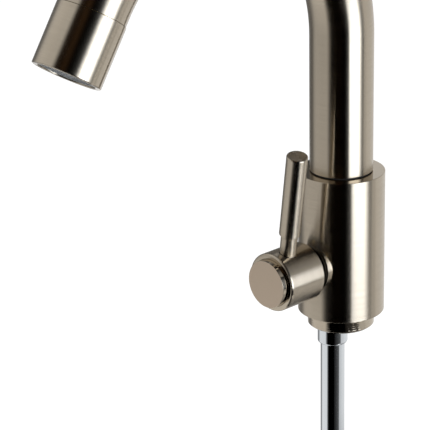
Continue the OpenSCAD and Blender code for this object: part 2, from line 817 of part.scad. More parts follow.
body_shell();
base_spigot();
deck_seal();
tail_pipe();
tail_gland_nut();
tail_sealing_ring();
stop_screw();
thrust_ring();
headwork_bonnet();
bonnet_sealing_ring();
bonnet_gap_ring();
seat_seal();
fixed_ceramic_disc();
spout_tube();
spout_foot();
spout_sealing_rings();
tip_adaptor();
tip_sleeve();
tip_washer();
stream_screen();
stream_housing();
stream_former();
handle_sleeve();
index_cap();
index_cap_ring();
lever_rod();
handle_hub();
handle_screw();
spindle();
spindle_sealing_rings();
spindle_stop_washer();
spindle_clip();
moving_ceramic_disc();
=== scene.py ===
import json
import math
from functools import partialmethod

import bmesh
import bpy
import numpy as np
from mathutils import Matrix, Vector


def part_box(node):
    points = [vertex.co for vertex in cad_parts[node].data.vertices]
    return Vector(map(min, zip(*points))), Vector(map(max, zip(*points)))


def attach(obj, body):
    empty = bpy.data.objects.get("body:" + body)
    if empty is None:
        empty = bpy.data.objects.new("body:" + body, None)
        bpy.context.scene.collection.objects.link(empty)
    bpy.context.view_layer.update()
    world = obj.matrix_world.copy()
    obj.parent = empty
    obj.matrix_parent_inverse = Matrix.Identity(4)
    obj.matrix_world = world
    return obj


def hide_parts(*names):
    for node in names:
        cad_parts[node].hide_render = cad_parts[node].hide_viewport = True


bl_info = {
    "name": "Deck-mounted bath filler",
    "version": (1, 0, 0),
    "blender": (4, 5, 0),
    "location": "View3D > Sidebar > Bath filler",
    "description": "Dresses the frame of a gooseneck bath filler in brushed nickel and chrome",
    "category": "Object",
}

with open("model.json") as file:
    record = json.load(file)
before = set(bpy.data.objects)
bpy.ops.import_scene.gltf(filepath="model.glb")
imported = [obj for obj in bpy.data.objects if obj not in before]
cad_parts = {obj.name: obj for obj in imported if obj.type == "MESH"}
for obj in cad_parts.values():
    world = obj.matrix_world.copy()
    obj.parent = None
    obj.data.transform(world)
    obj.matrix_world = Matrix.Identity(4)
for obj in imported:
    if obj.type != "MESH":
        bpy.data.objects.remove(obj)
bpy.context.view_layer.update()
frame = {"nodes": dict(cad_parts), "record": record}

MM = 0.001
TURN = 2 * math.pi
UV_NAME = "surface"
# Play between a bore and what sits in it
PLAY = 0.05 * MM
# Rounding of an edge that is only deburred
DEBURRED = 0.1 * MM
# Depth of the lip that holds the stream former in the mouth
LIP_DEPTH = 2.5 * MM
# Most of a noise pattern's values lie between these
NOISE_LOW, NOISE_HIGH = 0.3, 0.7
# Faces that meet at more than this angle have a sharp edge
SHARP = math.radians(30)
# Degrees of a rounded corner that one straight step spans
ARC_STEP = 15
# A shorter length counts as none
TINY = 1e-9
# Points that lie closer than this are one
SAME_POINT = 1e-8
# Cosines from which a face counts as flat, as nearly flat and as turned towards a direction
FLAT, NEARLY_FLAT, TOWARDS = 0.985, 0.9, 0.5


def linear(hex_colour):
    """Turn an sRGB hex colour into linear red, green and blue."""
    parts = [int(hex_colour[i:i + 2], 16) / 255 for i in (1, 3, 5)]
    return tuple(c / 12.92 if c <= 0.04045 else ((c + 0.055) / 1.055) ** 2.4 for c in parts)


def half_width(node):
    """Radius of a round piece, from its box in the frame."""
    low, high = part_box(node)
    return (high.x - low.x) / 2


def heights(node):
    """Lowest and highest point of a node."""
    low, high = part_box(node)
    return low.z, high.z


def forward(node):
    """How far a node's back and its front stand in front of the riser's axis."""
    low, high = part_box(node)
    return -high.y, -low.y


def size_property(name, description, default):
    """A length in metres with Blender's own units."""
    return bpy.props.FloatProperty(
        name=name, description=description, default=default, min=0.0, subtype="DISTANCE", unit="LENGTH"
    )


def angle_property(name, description, degrees):
    """An angle, written in degrees and kept in radians."""
    return bpy.props.FloatProperty(
        name=name, description=description, default=math.radians(degrees), subtype="ANGLE"
    )


def colour_property(name, description, hex_colour):
    """A colour picker whose default is an sRGB hex value."""
    return bpy.props.FloatVectorProperty(
        name=name, description=description, default=linear(hex_colour),
        size=3, min=0, max=1, subtype="COLOR",
    )


class FillerSizes(bpy.types.PropertyGroup):
    """Sizes of the filler that a user may want to read or change."""

    bend_radius: size_property("Bend radius", "Centreline radius of the spout's bend", 86.2 * MM)
    bend_turn: angle_property("Bend turn", "How far the spout's bend turns", 147.3)
    run: size_property("Run", "Straight run between the bend and the tip", 4.3 * MM)
    tip_length: size_property("Tip length", "Length of the tip sleeve", 29.8 * MM)
    tip_seam: size_property("Tip seam", "Width of the seam above the tip sleeve", 0.25 * MM)
    tip_lip: size_property("Tip lip", "Width of the rim at the mouth", 2.7 * MM)
    mouth_depth: size_property("Mouth depth", "Depth of the stream former below the rim", 0.7 * MM)
    boss_width: size_property("Boss width", "Diameter of the valve boss", 24 * MM)
    boss_chamfer: size_property("Boss chamfer", "Chamfer of the boss's front edge", 0.9 * MM)
    collar_width: size_property("Collar width", "Diameter of the collar in the handle's gap", 20.9 * MM)
    sleeve_edge: size_property("Sleeve edge", "Rounding of the handle's front edge", 1.2 * MM)
    cap_taper: size_property("Cap taper", "How far the end cap's side tapers in", 0.2 * MM)
    lever_stand: angle_property("Lever stand", "Turn of the shut lever from upright", 13)
    lever_lean: angle_property("Lever lean", "Forward lean of the lever", 5.9)
    lever_inset: size_property("Lever inset", "Distance of the lever behind the handle's front", 10.3 * MM)
    lever_top: size_property("Lever top", "Top of the lever from the valve's axis", 72.6 * MM)
    lever_width: size_property("Lever width", "Diameter of the lever rod", 10.7 * MM)
    neck_width: size_property("Neck width", "Diameter of the lever's neck", 8.5 * MM)
    neck_top: size_property("Neck top", "Top of the neck from the valve's axis", 25.7 * MM)
    edge: size_property("Edge rounding", "Radius of a machined outer edge", 0.35 * MM)
    spigot_depth: size_property("Spigot depth", "Depth of the spigot below the deck", 8.4 * MM)
    thread_pitch: size_property("Thread pitch", "Pitch of the spigot's thread", 1.2 * MM)
    gland_width: size_property("Gland width", "Diameter of the tail's gland nut", 15.8 * MM)
    gland_height: size_property("Gland height", "Height of the gland nut that shows", 9.1 * MM)
    cell_pitch: size_property("Cell pitch", "Distance between the stream former's cells", 2.7 * MM)
    cell_wall: size_property("Cell wall", "Wall between the stream former's cells", 0.5 * MM)


class FillerColours(bpy.types.PropertyGroup):
    """Colours of the filler's finishes, and the dark colour painted as shade in its groove."""

    nickel: colour_property("Nickel", "Warm brushed nickel plate", "#b3a897")
    # Painted shade: a dark nickel colour that stands in for the shade in the groove behind the handle
    painted_shade: colour_property("Dulled nickel", "Thin dark plate in the grooves", "#3a342b")
    cap: colour_property("Cap", "Satin face of the end cap", "#bcab98")
    chrome: colour_property("Chrome", "Cool chrome plate of the tail", "#d3d7da")
    brass: colour_property("Brass", "Turned brass inside", "#c9a961")
    steel: colour_property("Steel", "Stainless steel screws and clips", "#b6b9bb")
    nylon: colour_property("Nylon", "Dark moulded nylon", "#1b1a1a")
    rubber: colour_property("Rubber", "Black sealing rubber", "#161617")
    acetal: colour_property("Acetal", "Grey moulded stream former", "#8d9092")
    ceramic: colour_property("Ceramic", "Ground alumina discs", "#efece4")
    floor: colour_property("Floor", "Pale studio floor", "#f7f7f7")


def sizes():
    """The scene's sizes."""
    return bpy.context.scene.filler_sizes


def colours():
    """The scene's colours."""
    return bpy.context.scene.filler_colours


# Nodes

def add_node(tree, kind, inputs=None, **settings):
    """Add a node with its settings, and give each input its own value or the socket that feeds it."""
    made = tree.nodes.new(kind)
    for key, value in settings.items():
        setattr(made, key, value)
    for key, given in (inputs or {}).items():
        value = getattr(given, "socket", given)
        if isinstance(value, bpy.types.NodeSocket):
            tree.links.new(value, made.inputs[key])
        else:
            made.inputs[key].default_value = value
    return made


class Value:
    """A value in a node tree. Python's own arithmetic on it adds the nodes that work it out."""

    def __init__(self, socket):
        self.socket = socket

    def step(self, operation, *others):
        """The result of an operation on this value and the others."""
        terms = dict(enumerate((self, *others)))
        made = add_node(self.socket.id_data, "ShaderNodeMath", terms, operation=operation)
        return Value(made.outputs[0])

    __add__ = partialmethod(step, "ADD")
    __sub__ = partialmethod(step, "SUBTRACT")
    __mul__ = partialmethod(step, "MULTIPLY")
    __truediv__ = partialmethod(step, "DIVIDE")


# Materials

def new_material(name):
    """A new node material and its empty tree, or the one already made and None."""
    material = bpy.data.materials.get(name)
    if material:
        return material, None
    material = bpy.data.materials.new(name)
    material.use_nodes = True
    material.node_tree.nodes.clear()
    return material, material.node_tree


def finish_material(tree, shader):
    """Link a shader to the material's output."""
    add_node(tree, "ShaderNodeOutputMaterial", {"Surface": shader.outputs[0]})


def opaque(colour):
    """A colour with full alpha."""
    return (*colour, 1.0)


def tones(tree, source, colour, spread):
    """A colour that runs a little darker and lighter with a pattern."""
    ramp = add_node(tree, "ShaderNodeValToRGB", {"Fac": source})
    dark, light = ramp.color_ramp.elements
    dark.position, light.position = NOISE_LOW, NOISE_HIGH
    dark.color = opaque([c * (1 - spread) for c in colour])
    light.color = opaque([min(1, c * (1 + spread)) for c in colour])
    return ramp.outputs["Color"]


def brush_pattern(tree, line, run):
    """Fine lines round the piece: line is their spacing and run their length, both real sizes."""
    surface = add_node(tree, "ShaderNodeUVMap", uv_map=UV_NAME)
    stretch = add_node(
        tree, "ShaderNodeMapping", {"Vector": surface.outputs["UV"], "Scale": (1 / run, 1 / line, 1)}
    )
    return add_node(
        tree, "ShaderNodeTexNoise",
        {"Vector": stretch.outputs["Vector"], "Scale": 1.0, "Detail": 3.0, "Roughness": 0.6},
        noise_dimensions="2D",
    ).outputs["Fac"]


def spread_values(tree, source, low, high):
    """Map most of a noise pattern's values onto another range."""
    return add_node(
        tree, "ShaderNodeMapRange",
        {"Value": source, "From Min": NOISE_LOW, "From Max": NOISE_HIGH, "To Min": low, "To Max": high},
    ).outputs["Result"]


def brushed_nickel():
    """Nickel plate brushed round the piece, so that reflections are drawn out along its axis."""
    material, tree = new_material("brushed_nickel_plate")
    if tree:
        # Real brush lines are near 0.1 mm apart, drawn at 0.5 mm so that they show
        lines = brush_pattern(tree, line=0.5 * MM, run=24 * MM)
        broad = brush_pattern(tree, line=3 * MM, run=60 * MM)
        bump = add_node(tree, "ShaderNodeBump", {"Height": lines, "Strength": 0.06, "Distance": 0.02 * MM})
        tangent = add_node(tree, "ShaderNodeTangent", direction_type="UV_MAP", uv_map=UV_NAME)
        shader = add_node(tree, "ShaderNodeBsdfPrincipled", {
            "Metallic": 1.0, "Anisotropic": 1.0, "Anisotropic Rotation": 0.25,
            "Base Color": tones(tree, lines, colours().nickel, 0.035),
            "Roughness": spread_values(tree, broad, 0.23, 0.27),
            "Normal": bump.outputs["Normal"],
            "Tangent": tangent.outputs["Tangent"],
        })
        finish_material(tree, shader)
    return material


def grained(
    name, colour, roughness, grain, metallic=1.0, relief=0.01 * MM, spread=0.03,
    detail=3.0, fine=0.5, strength=0.15,
):
    """A material with an even grain on Object coordinates, whose width and relief are real sizes."""
    material, tree = new_material(name)
    if tree:
        place = add_node(tree, "ShaderNodeTexCoord")
        noise = add_node(tree, "ShaderNodeTexNoise", {
            "Vector": place.outputs["Object"], "Scale": 1 / grain, "Detail": detail, "Roughness": fine,
        }).outputs["Fac"]
        bump = add_node(tree, "ShaderNodeBump", {"Height": noise, "Strength": strength, "Distance": relief})
        shader = add_node(tree, "ShaderNodeBsdfPrincipled", {
            "Metallic": metallic,
            "Base Color": tones(tree, noise, colour, spread),
            "Roughness": spread_values(tree, noise, roughness * 0.9, roughness * 1.1),
            "Normal": bump.outputs["Normal"],
        })
        finish_material(tree, shader)
    return material


def satin_nickel():
    """Nickel plate blasted to an even satin, as on the end cap's face."""
    return grained(
        "satin_nickel_plate", colours().cap, roughness=0.4, grain=0.4 * MM, relief=0.02 * MM,
        detail=4.0, fine=0.6, strength=0.12,
    )


def polished_nickel():
    """The same plate on a buffed surface, mirror-like, as on the cap's side and the spigot."""
    return grained("polished_nickel_plate", colours().nickel, roughness=0.06, grain=6 * MM, spread=0.01)


def painted_shade_nickel():
    """Nickel plate painted dark as shade, for the faces in the groove behind the handle where the sleeve
    and the boss shade them.
    """
    return grained("painted_shade_nickel_plate", colours().painted_shade, roughness=0.3, grain=0.5 * MM)


def polished_chrome():
    """Bright chrome plate on drawn copper: mirror-like, with the faint waver of a drawn tube."""
    return grained(
        "polished_chrome_plate", colours().chrome, roughness=0.07, grain=6 * MM, relief=0.03 * MM,
        spread=0.01,
    )


def turned_brass():
    """Bare turned brass, semi-bright, as inside a valve."""
    return grained("turned_brass", colours().brass, roughness=0.3, grain=0.3 * MM)


def stainless_steel():
    """Turned or stamped stainless steel, a little cooler than the plate."""
    return grained("stainless_steel", colours().steel, roughness=0.28, grain=0.3 * MM)


def moulded_nylon():
    """Dark glass-filled nylon with a fine spark-eroded texture."""
    return grained(
        "moulded_nylon", colours().nylon, roughness=0.5, grain=0.3 * MM, metallic=0.0, relief=0.02 * MM,
        spread=0.1,
    )


def sealing_rubber():
    """Black nitrile rubber, matte with a faint sheen."""
    return grained(
        "sealing_rubber", colours().rubber, roughness=0.6, grain=0.5 * MM, metallic=0.0, relief=0.02 * MM,
        spread=0.1,
    )


def moulded_acetal():
    """Grey acetal, moulded smooth."""
    return grained(
        "moulded_acetal", colours().acetal, roughness=0.38, grain=0.8 * MM, metallic=0.0, spread=0.04
    )


def ground_ceramic():
    """Alumina ceramic, ground flat and lapped."""
    return grained(
        "ground_alumina", colours().ceramic, roughness=0.22, grain=0.2 * MM, metallic=0.0,
        relief=0.005 * MM, spread=0.02,
    )


# Shapes

def on_valve():
    """Frame of the valve's axis: z runs forward out of the body."""
    low, high = heights("handle_sleeve")
    return Matrix.Translation((0, 0, (low + high) / 2)) @ Matrix.Rotation(math.pi / 2, 4, "X")


def on_lever():
    """Frame of the lever's axis: z runs up the lever."""
    s = sizes()
    out = forward("handle_sleeve")[1] - s.lever_inset
    turn = Matrix.Rotation(s.lever_stand, 4, "Y") @ Matrix.Rotation(s.lever_lean, 4, "X")
    return on_valve() @ Matrix.Translation((0, 0, out)) @ Matrix.Rotation(-math.pi / 2, 4, "X") @ turn


def bend_start():
    """Height at which the riser starts to bend."""
    return heights("spout_tube")[1] - half_width("spout_tube") - sizes().bend_radius


def on_outlet():
    """Frame at the end of the bend: z runs the way the water leaves."""
    s = sizes()
    centre = Matrix.Translation((0, -s.bend_radius, bend_start()))
    return centre @ Matrix.Rotation(s.bend_turn, 4, "X") @ Matrix.Translation((0, s.bend_radius, 0))


def on_tail():
    """Frame of the tail's axis, at the deck's height."""
    low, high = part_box("tail_pipe")
    return Matrix.Translation((0, (low.y + high.y) / 2, 0))


def add_object(name, data):
    """A new object in the scene, with its data."""
    made = bpy.data.objects.new(name, data)
    bpy.context.scene.collection.objects.link(made)
    return made


def outline_edges(corners, closed):
    """Edges of an outline with rounded corners: (start, end, start normal, end normal) each.

    A corner is (radius, height) or (radius, height, rounding). The solid lies on the left of the path.
    """
    points = [Vector(c[:2]) for c in corners]
    rounds = [c[2] if len(c) > 2 else 0.0 for c in corners]
    count = len(points)
    exits, enters, arcs = [None] * count, [None] * count, [[] for _ in range(count)]
    for i, point in enumerate(points):
        enters[i] = exits[i] = point
        inner = closed or 0 < i < count - 1
        if not inner or rounds[i] == 0:
            continue
        before = (points[i - 1] - point).normalized()
        after = (points[(i + 1) % count] - point).normalized()
        half = before.angle(after) / 2
        back = rounds[i] / math.tan(half)
        enters[i], exits[i] = point + before * back, point + after * back
        centre = point + (before + after).normalized() * rounds[i] / math.sin(half)
        first, last = enters[i] - centre, exits[i] - centre
        steps = max(2, round(math.degrees(math.pi - 2 * half) / ARC_STEP))
        turned = [(first.lerp(last, k / steps)).normalized() for k in range(steps + 1)]
        bulge = 1 if before.cross(after) < 0 else -1
        for a, b in zip(turned, turned[1:]):
            arcs[i].append((centre + a * rounds[i], centre + b * rounds[i], a * bulge, b * bulge))
    edges = []
    for i in range(count if closed else count - 1):
        j = (i + 1) % count
        along = (enters[j] - exits[i]).normalized()
        normal = Vector((along.y, -along.x))
        edges += [(exits[i], enters[j], normal, normal)]
        edges += arcs[j] if closed or j < count - 1 else []
    return [e for e in edges if (e[1] - e[0]).length > TINY]


def lathe(name, corners, place=Matrix.Identity(4), closed=True, segments=160):
    """Turn an outline round z, with exact normals and a UV map in metres, and put it in place."""
    edges = outline_edges(corners, closed)
    angles = [TURN * k / segments for k in range(segments + 1)]
    verts, faces, normals, uvs = [], [], [], []
    length = 0.0
    widest = max(e[0].x for e in edges)
    for start, end, n_start, n_end in edges:
        base = len(verts)
        for angle in angles[:-1]:
            c, s = math.cos(angle), math.sin(angle)
            verts += [(start.x * c, start.x * s, start.y), (end.x * c, end.x * s, end.y)]
        step = (end - start).length
        for k in range(segments):
            a, b = base + 2 * k, base + 2 * ((k + 1) % segments)
            ring = [(a, k, 0), (b, k + 1, 0), (b + 1, k + 1, 1), (a + 1, k, 1)]
            if start.x < TINY:
                ring = [ring[0], ring[2], ring[3]]
            elif end.x < TINY:
                ring = ring[:3]
            faces.append([r[0] for r in ring])
            for _, turn, at_end in ring:
                normal = n_end if at_end else n_start
                c, s = math.cos(angles[turn]), math.sin(angles[turn])
                normals.append((normal.x * c, normal.x * s, normal.y))
                uvs.append((angles[turn] * widest, length + step * at_end))
        length += step
    mesh = bpy.data.meshes.new(name)
    mesh.from_pydata(verts, [], faces)
    layer = mesh.uv_layers.new(name=UV_NAME)
    layer.data.foreach_set("uv", np.array(uvs, np.float32).ravel())
    mesh.polygons.foreach_set("use_smooth", [True] * len(faces))
    return set_normals(weld(mesh), normals, place)


def weld(mesh):
    """Join the doubled points of neighbouring strips."""
    work = bmesh.new()
    work.from_mesh(mesh)
    bmesh.ops.remove_doubles(work, verts=work.verts, dist=SAME_POINT)
    work.to_mesh(mesh)
    work.free()
    return mesh


def set_normals(mesh, normals, place):
    """Give a mesh its exact normals, put it in place and wrap it in an object."""
    mesh.transform(place)
    turn = np.array(place.to_3x3())
    mesh.normals_split_custom_set((np.array(normals) @ turn.T).tolist())
    return add_object(mesh.name, mesh)


def join(first, second):
    """Join a second piece into the first."""
    pieces = [first, second]
    with bpy.context.temp_override(
        active_object=first, object=first, selected_objects=pieces, selected_editable_objects=pieces
    ):
        bpy.ops.object.join()
    return first


def plain_mesh(piece):
    """Turn what a piece's modifiers make into its plain mesh."""
    depsgraph = bpy.context.evaluated_depsgraph_get()
    mesh = bpy.data.meshes.new_from_object(
        piece.evaluated_get(depsgraph), preserve_all_data_layers=True, depsgraph=depsgraph
    )
    piece.modifiers.clear()
    piece.data = mesh
    return mesh


def cut_round(piece, cutter):
    """Cut a hole in a sleeve on the valve's axis and give its round wall exact normals again."""
    modifier = piece.modifiers.new("Hole", "BOOLEAN")
    modifier.operation, modifier.object, modifier.solver = "DIFFERENCE", cutter, "EXACT"
    mesh = plain_mesh(piece)
    bpy.data.objects.remove(cutter)
    mesh.set_sharp_from_angle(angle=SHARP)
    height = on_valve().translation.z
    round_wall, level = 0.995, 0.02
    normals = []
    for face in mesh.polygons:
        flat = Vector((face.center.x, 0, face.center.z - height)).normalized()
        on_wall = face.normal.dot(flat) > round_wall and abs(face.normal.y) < level
        for loop in face.loop_indices:
            co = mesh.vertices[mesh.loops[loop].vertex_index].co
            wall = Vector((co.x, 0, co.z - height)).normalized()
            normals.append(wall if on_wall else mesh.corner_normals[loop].vector.copy())
    mesh.normals_split_custom_set(normals)


def dress(piece, material, body, node):
    """Give a piece its material, its body and the CAD node that it stands for."""
    piece.data.materials.clear()
    piece.data.materials.append(material)
    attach(piece, body)
    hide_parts(node)


def finish_or_shade_faces(piece, material, test):
    """Give the faces whose centre and normal pass a test a second finish, or the dark nickel of painted
    shade.
    """
    mesh = piece.data
    mesh.materials.append(material)
    for face in mesh.polygons:
        if test(face.center, face.normal):
            face.material_index = len(mesh.materials) - 1


# Geometry Nodes

def new_tree(name, inputs):
    """A geometry tree with inputs from (name, default) pairs, and the inputs' values in it."""
    tree = bpy.data.node_groups.new(name, "GeometryNodeTree")
    for label, default in inputs:
        kind = "NodeSocketInt" if isinstance(default, int) else "NodeSocketFloat"
        tree.interface.new_socket(name=label, in_out="INPUT", socket_type=kind).default_value = default
    tree.interface.new_socket(name="Material", in_out="INPUT", socket_type="NodeSocketMaterial")
    tree.interface.new_socket(name="Geometry", in_out="OUTPUT", socket_type="NodeSocketGeometry")
    return tree, {socket.name: Value(socket) for socket in add_node(tree, "NodeGroupInput").outputs}


def close_tree(tree, given, geometry):
    """End a tree in Realize Instances and Set Material."""
    real = add_node(tree, "GeometryNodeRealizeInstances", {"Geometry": geometry})
    painted = add_node(
        tree, "GeometryNodeSetMaterial", {"Geometry": real.outputs[0], "Material": given["Material"]}
    )
    add_node(tree, "NodeGroupOutput", {"Geometry": painted.outputs[0]})


def run_tree(tree, name, values, material, place=Matrix.Identity(4)):
    """Evaluate a tree into a plain mesh object in place."""
    holder = add_object(name, bpy.data.meshes.new(name))
    modifier = holder.modifiers.new("Shape", "NODES")
    modifier.node_group = tree
    values = {**values, "Material": material}
    for socket in tree.interface.items_tree:
        if socket.name in values:
            modifier[socket.identifier] = values[socket.name]
    mesh = plain_mesh(holder)
    mesh.name = name
    mesh.transform(place)
    mesh.polygons.foreach_set("use_smooth", [True] * len(mesh.polygons))
    mesh.set_sharp_from_angle(angle=SHARP)
    return holder


def tube_tree():
    """A tube that rises, bends forward and runs on, swept along its own centreline."""
    tree, given = new_tree("spout_tube_path", [
        ("Radius", 16.2 * MM), ("Base", 75 * MM), ("Rise", 70 * MM), ("Bend Radius", 86.2 * MM),
        ("Bend Turn", 2.57), ("Run", 4 * MM), ("Rings", 220), ("Sides", 160),
    ])
    rise, bend_radius, bend_turn = given["Rise"], given["Bend Radius"], given["Bend Turn"]
    share = Value(add_node(tree, "GeometryNodeSplineParameter").outputs["Factor"])
    bend_length = bend_radius * bend_turn
    along = share * (rise + bend_length + given["Run"])
    past = (along - rise).step("MAXIMUM", 0.0)
    turned = past.step("MINIMUM", bend_length) / bend_radius
    on = (past - bend_length).step("MAXIMUM", 0.0)
    climbed = given["Base"] + along.step("MINIMUM", rise)
    point = add_node(tree, "ShaderNodeCombineXYZ", {
        "Y": (turned.step("COSINE") - 1.0) * bend_radius - on * bend_turn.step("SINE"),
        "Z": climbed + turned.step("SINE") * bend_radius + on * bend_turn.step("COSINE"),
    })
    line = add_node(tree, "GeometryNodeCurvePrimitiveLine", {"End": (0, 0, 1)})
    rings = add_node(
        tree, "GeometryNodeResampleCurve", {"Curve": line.outputs["Curve"], "Count": given["Rings"]}
    )
    path = add_node(
        tree, "GeometryNodeSetPosition", {"Geometry": rings.outputs["Curve"], "Position": point.outputs[0]}
    )
    circle = add_node(
        tree, "GeometryNodeCurvePrimitiveCircle", {"Resolution": given["Sides"], "Radius": given["Radius"]}
    )
    around = given["Radius"] * TURN * share
    # Each curve keeps the length along it, for the tube's UV map
    kept = []
    for curve, length in ((path.outputs["Geometry"], along), (circle.outputs["Curve"], around)):
        made = add_node(tree, "GeometryNodeCaptureAttribute", {"Geometry": curve})
        made.capture_items.new("FLOAT", "Length")
        tree.links.new(length.socket, made.inputs["Length"])
        kept.append(made.outputs)
    route, profile = kept
    tube = add_node(tree, "GeometryNodeCurveToMesh", {
        "Curve": route["Geometry"], "Profile Curve": profile["Geometry"], "Fill Caps": True,
    })
    surface = add_node(tree, "ShaderNodeCombineXYZ", {"X": profile["Length"], "Y": route["Length"]})
    stored = add_node(
        tree, "GeometryNodeStoreNamedAttribute",
        {"Geometry": tube.outputs["Mesh"], "Name": UV_NAME, "Value": surface.outputs[0]},
        data_type="FLOAT2", domain="CORNER",
    )
    close_tree(tree, given, stored.outputs["Geometry"])
    return tree


def thread_tree():
    """One thread ridge that winds round a core."""
    tree, given = new_tree("spigot_thread", [
        ("Radius", 17 * MM), ("Turns", 4.0), ("Height", 5 * MM), ("Ridge", 0.6 * MM), ("Points", 480),
    ])
    spiral = add_node(tree, "GeometryNodeCurveSpiral", {
        "Rotations": given["Turns"], "Height": given["Height"],
        "Start Radius": given["Radius"], "End Radius": given["Radius"],
    })
    even = add_node(
        tree, "GeometryNodeResampleCurve", {"Curve": spiral.outputs["Curve"], "Count": given["Points"]}
    )
    ridge = add_node(tree, "GeometryNodeCurvePrimitiveCircle", {"Resolution": 8, "Radius": given["Ridge"]})
    wound = add_node(tree, "GeometryNodeCurveToMesh", {
        "Curve": even.outputs["Curve"], "Profile Curve": ridge.outputs["Curve"], "Fill Caps": True,
    })
    close_tree(tree, given, wound.outputs["Mesh"])
    return tree


def honeycomb_tree():
    """Six-sided cells in rows, kept inside a circle."""
    tree, given = new_tree("stream_honeycomb", [
        ("Radius", 12 * MM), ("Pitch", 2.7 * MM), ("Wall", 0.5 * MM), ("Height", 5 * MM), ("Rows", 11),
    ])
    pitch, half_pitch, half_wall = given["Pitch"], given["Pitch"] * 0.5, given["Wall"] * 0.5
    row_step = pitch * math.sin(math.radians(60))
    spans = given["Rows"] - 1.0
    grid = add_node(tree, "GeometryNodeMeshGrid", {
        "Size X": pitch * spans, "Size Y": row_step * spans,
        "Vertices X": given["Rows"], "Vertices Y": given["Rows"],
    })
    place = add_node(tree, "GeometryNodeInputPosition")
    parts = add_node(tree, "ShaderNodeSeparateXYZ", {"Vector": place.outputs[0]})
    row = (Value(parts.outputs["Y"]) / row_step).step("ROUND")
    offset = add_node(tree, "ShaderNodeCombineXYZ", {"X": row.step("PINGPONG", 1.0) * half_pitch})
    rows = add_node(
        tree, "GeometryNodeSetPosition", {"Geometry": grid.outputs["Mesh"], "Offset": offset.outputs[0]}
    )
    length = add_node(tree, "ShaderNodeVectorMath", {0: place.outputs[0]}, operation="LENGTH")
    far = Value(length.outputs["Value"])
    inside = add_node(tree, "GeometryNodeDeleteGeometry", {
        "Geometry": rows.outputs["Geometry"],
        "Selection": far.step("GREATER_THAN", given["Radius"] - half_pitch),
    })
    cell_radius = (pitch - half_wall) / (2 * math.cos(math.radians(30)))
    cell = add_node(tree, "GeometryNodeCurvePrimitiveCircle", {"Resolution": 6, "Radius": cell_radius})
    wall = add_node(
        tree, "GeometryNodeCurvePrimitiveQuadrilateral", {"Width": half_wall, "Height": given["Height"]}
    )
    ring = add_node(
        tree, "GeometryNodeCurveToMesh",
        {"Curve": cell.outputs["Curve"], "Profile Curve": wall.outputs["Curve"]},
    )
    turned = add_node(
        tree, "GeometryNodeTransform",
        {"Geometry": ring.outputs["Mesh"], "Rotation": (0, 0, math.radians(30))},
    )
    cells = add_node(
        tree, "GeometryNodeInstanceOnPoints",
        {"Points": inside.outputs["Geometry"], "Instance": turned.outputs["Geometry"]},
    )
    close_tree(tree, given, cells.outputs["Instances"])
    return tree


# Operators

class FILLER_OT_body(bpy.types.Operator):
    """Make the upright body with its valve boss"""

    bl_idname = "filler.body"
    bl_label = "Body"

    def execute(self, context):
        s = sizes()
        radius, height = half_width("body_shell"), heights("body_shell")[1]
        foot_edge, top_edge, well_edge = 0.3 * MM, s.edge * 0.8, s.edge * 0.5
        well, well_floor = half_width("thrust_ring") + PLAY, height - 2.2 * MM
        body = lathe("body_shell_dressed", [
            (0, 0), (radius, 0, foot_edge), (radius, height, top_edge),
            (well, height, well_edge), (well, well_floor), (0, well_floor),
        ], closed=False)
        boss_radius, front = s.boss_width / 2, forward("body_shell")[1]
        bore, bore_floor = half_width("bonnet_sealing_ring"), front - 2 * MM
        boss = lathe("boss", [
            (boss_radius, 0), (boss_radius, front - s.boss_chamfer, DEBURRED),
            (boss_radius - s.boss_chamfer, front, DEBURRED), (bore, front, DEBURRED),
            (bore, bore_floor), (0, bore_floor),
        ], on_valve(), closed=False)
        whole = join(body, boss)
        dress(whole, brushed_nickel(), "base", "body_shell")
        rim = height - s.edge
        finish_or_shade_faces(whole, polished_nickel(), lambda at, normal: normal.z > NEARLY_FLAT and at.z > rim)
        # Painted shade: the boss's front face in the groove behind the handle gets the dark nickel
        finish_or_shade_faces(whole, painted_shade_nickel(), lambda at, normal: normal.y < -TOWARDS and at.y < -radius)
        return {"FINISHED"}


class FILLER_OT_spigot(bpy.types.Operator):
    """Make the threaded spigot under the body"""

    bl_idname = "filler.spigot"
    bl_label = "Spigot"

    def execute(self, context):
        s = sizes()
        radius, low = half_width("base_spigot"), -s.spigot_depth
        ridge, proud = s.thread_pitch * 0.54, 0.08 * MM
        root, land = radius - proud, 2.4 * MM
        nose_in, nose_up, nose_edge = 1.1 * MM, 0.9 * MM, 0.5 * MM
        run_out = 0.3 * MM
        core = lathe("base_spigot_dressed", [
            (0, low), (radius - nose_in, low, nose_edge), (root, low + nose_up, run_out),
            (root, -land), (radius, -land + run_out), (radius, 0),
        ], closed=False)
        top, bottom = -land - ridge * 0.4, low + 1.6 * MM
        height = top - bottom
        turns, points_a_turn = height / s.thread_pitch, 120
        thread = run_tree(thread_tree(), "spigot_thread", {
            "Radius": radius - ridge, "Turns": turns, "Height": height, "Ridge": ridge,
            "Points": round(turns * points_a_turn),
        }, polished_nickel(), Matrix.Translation((0, 0, bottom)))
        whole = join(core, thread)
        dress(whole, polished_nickel(), "base", "base_spigot")
        return {"FINISHED"}


class FILLER_OT_spout(bpy.types.Operator):
    """Sweep the riser, the bend and the short run in one tube"""

    bl_idname = "filler.spout"
    bl_label = "Spout tube"

    def execute(self, context):
        s = sizes()
        radius, base = half_width("spout_tube"), heights("spout_tube")[0]
        lip, wall = 0.6 * MM, 1.5 * MM
        tube = run_tree(tube_tree(), "spout_tube_dressed", {
            "Radius": radius, "Base": base + lip, "Rise": bend_start() - base - lip,
            "Bend Radius": s.bend_radius, "Bend Turn": s.bend_turn, "Run": s.run - s.tip_seam,
        }, brushed_nickel())
        inner = radius - wall
        edge = lathe("riser_edge", [
            (inner, base), (radius, base, lip * 0.7), (radius, base + lip), (inner, base + lip),
        ])
        whole = join(tube, edge)
        dress(whole, brushed_nickel(), "spout", "spout_tube")
        return {"FINISHED"}


